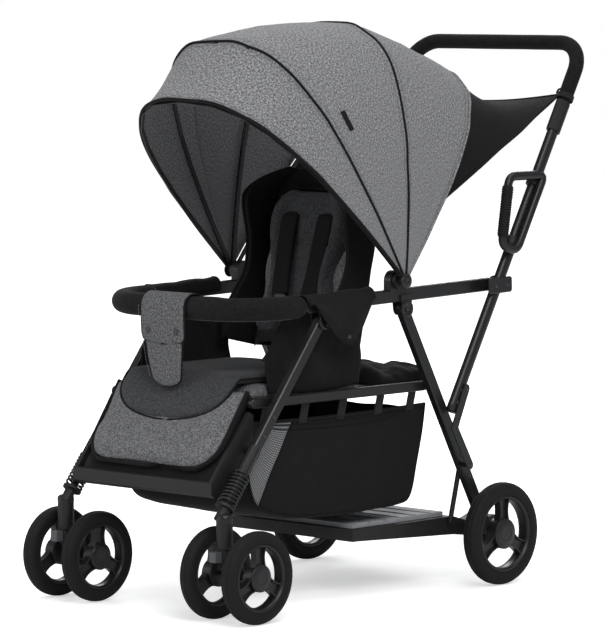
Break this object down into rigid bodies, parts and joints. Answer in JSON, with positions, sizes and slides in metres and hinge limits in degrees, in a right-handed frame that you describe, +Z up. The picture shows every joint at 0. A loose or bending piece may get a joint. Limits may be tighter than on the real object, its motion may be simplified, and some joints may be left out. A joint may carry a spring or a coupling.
{
  "type": "tandem stroller",
  "caption": "Sit-and-stand tandem stroller: front seat under a hooped canopy, rear bench and footplate, folding frame, sprung swivel front wheels, braked rear wheels.",
  "frame": {"origin": "middle of the width and length, on the floor", "axes": "+Z up, +Y to the rear where the person pushing stands, +X to the left of the person pushing, who faces forward"},
  "size_m": [0.542, 1.0534, 1.0677],
  "materials": {
    "frame": "dark charcoal paint, half matt",
    "bare_metal": "plain steel",
    "plastic": "black moulded, fine grain",
    "light_plastic": "light grey moulded",
    "tyre": "matt black, shallow tread",
    "foam": "soft black foam",
    "melange_cloth": "mid grey mottled weave",
    "black_cloth": "black woven cloth and mesh"
  },
  "bodies": {
    "rear_frame": {"rear_leg_left": "frame", "rear_leg_right": "frame", "rear_axle": "bare_metal", "footplate_frame": "plastic", "footplate_grip": "light_plastic", "stay_rod_left": "frame", "stay_rod_right": "frame"},
    "brake": {"brake_bar": "plastic"},
    "rear_wheel_left": {"rear_tyre_left": "tyre", "rear_rim_left": "plastic"},
    "rear_wheel_right": {"rear_tyre_right": "tyre", "rear_rim_right": "plastic"},
    "armrests": {"armrest_left": "frame", "armrest_right": "frame"},
    "bumper": {"bumper_bar": "foam"},
    "front_frame": {"front_leg_left": "frame", "front_leg_right": "frame", "front_crossbar": "frame", "footrest": "plastic"},
    "seat": {"seat_rail_left": "frame", "seat_rail_right": "frame", "seat_board": "plastic", "seat_cushion": "melange_cloth", "calf_rest": "melange_cloth", "bench_seat": "black_cloth", "basket": "black_cloth"},
    "back_rod": {"backrest_rod": "bare_metal"},
    "backrest": {"backrest_board": "plastic", "backrest_cushion": "melange_cloth", "harness": "black_cloth"},
    "handle": {"handle_tube": "frame", "handle_foam": "foam", "handle_collar_left": "plastic", "handle_collar_right": "plastic", "grab_handle_left": "tyre", "grab_handle_right": "tyre"},
    "fold_links": {"fold_link_left": "frame", "fold_link_right": "frame"},
    "canopy_base": {"canopy_hub_left": "plastic", "canopy_hub_right": "plastic", "canopy_rear_bow": "plastic", "canopy_rear_panel": "melange_cloth", "rear_shade": "black_cloth"},
    "canopy_mid": {"canopy_mid_bow": "plastic", "canopy_front_panel": "melange_cloth"},
    "canopy_front": {"canopy_front_bow": "plastic", "canopy_visor_panel": "melange_cloth"},
    "canopy_visor": {"canopy_visor_bow": "plastic"},
    "suspension_left": {"stem_left": "plastic", "spring_left": "bare_metal"},
    "caster_left": {"fork_left": "plastic", "swivel_lock_left": "light_plastic"},
    "front_wheel_left_outer": {"front_wheel_left_outer": "tyre"},
    "front_wheel_left_inner": {"front_wheel_left_inner": "tyre"},
    "suspension_right": {"stem_right": "plastic", "spring_right": "bare_metal"},
    "caster_right": {"fork_right": "plastic", "swivel_lock_right": "light_plastic"},
    "front_wheel_right_outer": {"front_wheel_right_outer": "tyre"},
    "front_wheel_right_inner": {"front_wheel_right_inner": "tyre"}
  },
  "joints": [
    {"name": "frame_fold", "type": "hinge", "parent": "rear_frame", "child": "armrests", "pos_m": [0, 0.0083, 0.535], "axis": [-1, 0, 0], "range_deg": [0, 62], "deforming": ["seat_cushion", "backrest_cushion", "calf_rest", "basket", "rear_shade"]},
    {"name": "front_leg_fold", "type": "hinge", "parent": "armrests", "child": "front_frame", "pos_m": [0, -0.2137, 0.527], "axis": [1, 0, 0], "range_deg": [0, 89]},
    {"name": "seat_fold", "type": "hinge", "parent": "front_frame", "child": "seat", "pos_m": [0, -0.3217, 0.384], "axis": [-1, 0, 0], "range_deg": [0, 86]},
    {"name": "handle_fold", "type": "hinge", "parent": "armrests", "child": "handle", "pos_m": [0, 0.2543, 0.568], "axis": [1, 0, 0], "range_deg": [0, 60]},
    {"name": "link_turn", "type": "hinge", "parent": "rear_frame", "child": "fold_links", "pos_m": [0, 0.1623, 0.232], "axis": [1, 0, 0], "range_deg": [0, 117]},
    {"name": "canopy_turn", "type": "hinge", "parent": "armrests", "child": "canopy_base", "pos_m": [0, -0.0147, 0.589], "axis": [1, 0, 0], "range_deg": [0, 62]},
    {"name": "back_fold", "type": "hinge", "parent": "seat", "child": "back_rod", "pos_m": [0, -0.0547, 0.402], "axis": [1, 0, 0], "range_deg": [0, 74]},
    {"name": "backrest_recline", "type": "hinge", "parent": "back_rod", "child": "backrest", "pos_m": [0, -0.0547, 0.402], "axis": [-1, 0, 0], "range_deg": [0, 28]},
    {"name": "canopy_open", "type": "hinge", "parent": "canopy_base", "child": "canopy_front", "pos_m": [0, -0.0147, 0.589], "axis": [-1, 0, 0], "range_deg": [0, 56], "deforming": ["canopy_rear_panel", "canopy_front_panel", "canopy_visor_panel"]},
    {"name": "canopy_mid_turn", "type": "hinge", "parent": "canopy_base", "child": "canopy_mid", "pos_m": [0, -0.0147, 0.589], "axis": [-1, 0, 0], "range_deg": [0, 28]},
    {"name": "visor_turn", "type": "hinge", "parent": "canopy_front", "child": "canopy_visor", "pos_m": [0, -0.0147, 0.589], "axis": [1, 0, 0], "range_deg": [-8, 24]},
    {"name": "bumper_pull", "type": "slide", "parent": "front_frame", "child": "bumper", "axis": [0, -1, 0], "range_m": [0, 0.09]},
    {"name": "rear_wheel_left_spin", "type": "hinge", "parent": "rear_frame", "child": "rear_wheel_left", "pos_m": [0.25, 0.2303, 0.0975], "axis": [1, 0, 0], "continuous": true},
    {"name": "rear_wheel_right_spin", "type": "hinge", "parent": "rear_frame", "child": "rear_wheel_right", "pos_m": [-0.25, 0.2303, 0.0975], "axis": [1, 0, 0], "continuous": true},
    {"name": "brake_pedal", "type": "hinge", "parent": "rear_frame", "child": "brake", "pos_m": [0, 0.2543, 0.0975], "axis": [-1, 0, 0], "range_deg": [0, 22]},
    {"name": "suspension_left_travel", "type": "slide", "parent": "front_frame", "child": "suspension_left", "axis": [0, 0.6163, 0.7875], "range_m": [0, 0.011], "stiffness_N_per_m": 9000, "springref_m": -0.004, "deforming": ["spring_left"]},
    {"name": "caster_left_swivel", "type": "hinge", "parent": "suspension_left", "child": "caster_left", "pos_m": [0.205, -0.4727, 0.134], "axis": [0, 0, 1], "continuous": true},
    {"name": "front_wheel_left_outer_spin", "type": "hinge", "parent": "caster_left", "child": "front_wheel_left_outer", "pos_m": [0.2565, -0.4427, 0.084], "axis": [1, 0, 0], "continuous": true},
    {"name": "front_wheel_left_inner_spin", "type": "hinge", "parent": "caster_left", "child": "front_wheel_left_inner", "pos_m": [0.1535, -0.4427, 0.084], "axis": [1, 0, 0], "continuous": true},
    {"name": "suspension_right_travel", "type": "slide", "parent": "front_frame", "child": "suspension_right", "axis": [0, 0.6163, 0.7875], "range_m": [0, 0.011], "stiffness_N_per_m": 9000, "springref_m": -0.004, "deforming": ["spring_right"]},
    {"name": "caster_right_swivel", "type": "hinge", "parent": "suspension_right", "child": "caster_right", "pos_m": [-0.205, -0.4727, 0.134], "axis": [0, 0, 1], "continuous": true},
    {"name": "front_wheel_right_outer_spin", "type": "hinge", "parent": "caster_right", "child": "front_wheel_right_outer", "pos_m": [-0.2565, -0.4427, 0.084], "axis": [1, 0, 0], "continuous": true},
    {"name": "front_wheel_right_inner_spin", "type": "hinge", "parent": "caster_right", "child": "front_wheel_right_inner", "pos_m": [-0.1535, -0.4427, 0.084], "axis": [1, 0, 0], "continuous": true}
  ],
  "couplings": [
    {"joint": "front_leg_fold", "follows": "frame_fold", "ratio": 1.4355},
    {"joint": "seat_fold", "follows": "frame_fold", "ratio": 1.3871},
    {"joint": "handle_fold", "follows": "frame_fold", "ratio": 0.96773},
    {"joint": "link_turn", "follows": "frame_fold", "ratio": 1.8871},
    {"joint": "canopy_turn", "follows": "frame_fold", "ratio": 0.99999},
    {"joint": "back_fold", "follows": "frame_fold", "ratio": 1.1935},
    {"joint": "canopy_mid_turn", "follows": "canopy_open", "ratio": 0.5}
  ]
}
